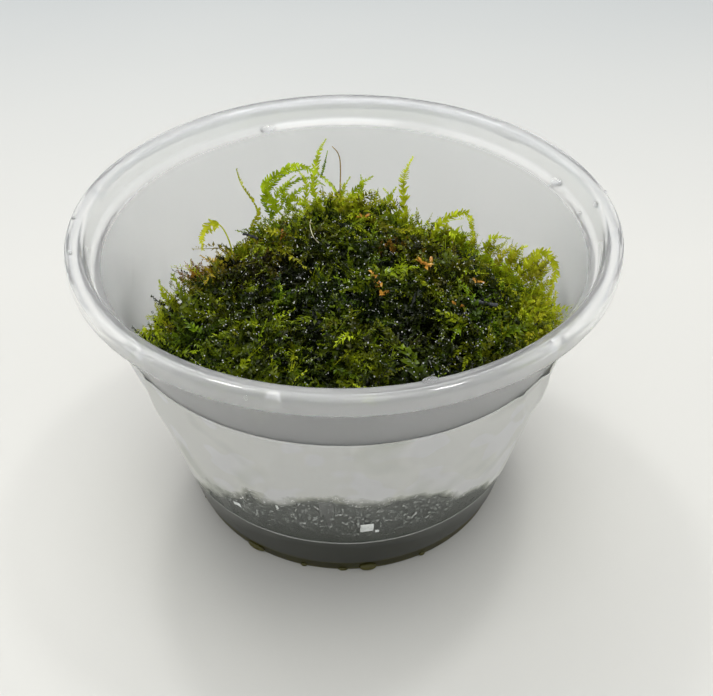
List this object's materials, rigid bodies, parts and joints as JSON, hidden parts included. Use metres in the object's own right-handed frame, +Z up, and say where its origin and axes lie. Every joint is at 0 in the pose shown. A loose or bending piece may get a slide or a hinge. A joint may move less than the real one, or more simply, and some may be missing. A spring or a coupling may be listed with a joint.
{
  "type": "potted java moss clump",
  "caption": "Wet clump of leafy java moss heaped in a round frosted plastic portion cup with a rolled rim and a bare wrap label round its front.",
  "frame": {"origin": "centre of the cup's underside, on the surface that it stands on", "axes": "+Z up along the cup's axis, -Y towards the label's middle, +X to the right as seen from the front"},
  "size_m": [0.074, 0.074, 0.054],
  "materials": {
    "frosted_plastic": "translucent frosted polypropylene with a glossy rim",
    "label_film": "thin off-white wrap label, bare, its lower half soaked see-through",
    "moss": "wet leafy moss, dark olive with bright yellow-green tips"
  },
  "bodies": {
    "root": {"cup": "frosted_plastic", "label": "label_film", "moss_clump": "moss"}
  },
  "joints": []
}
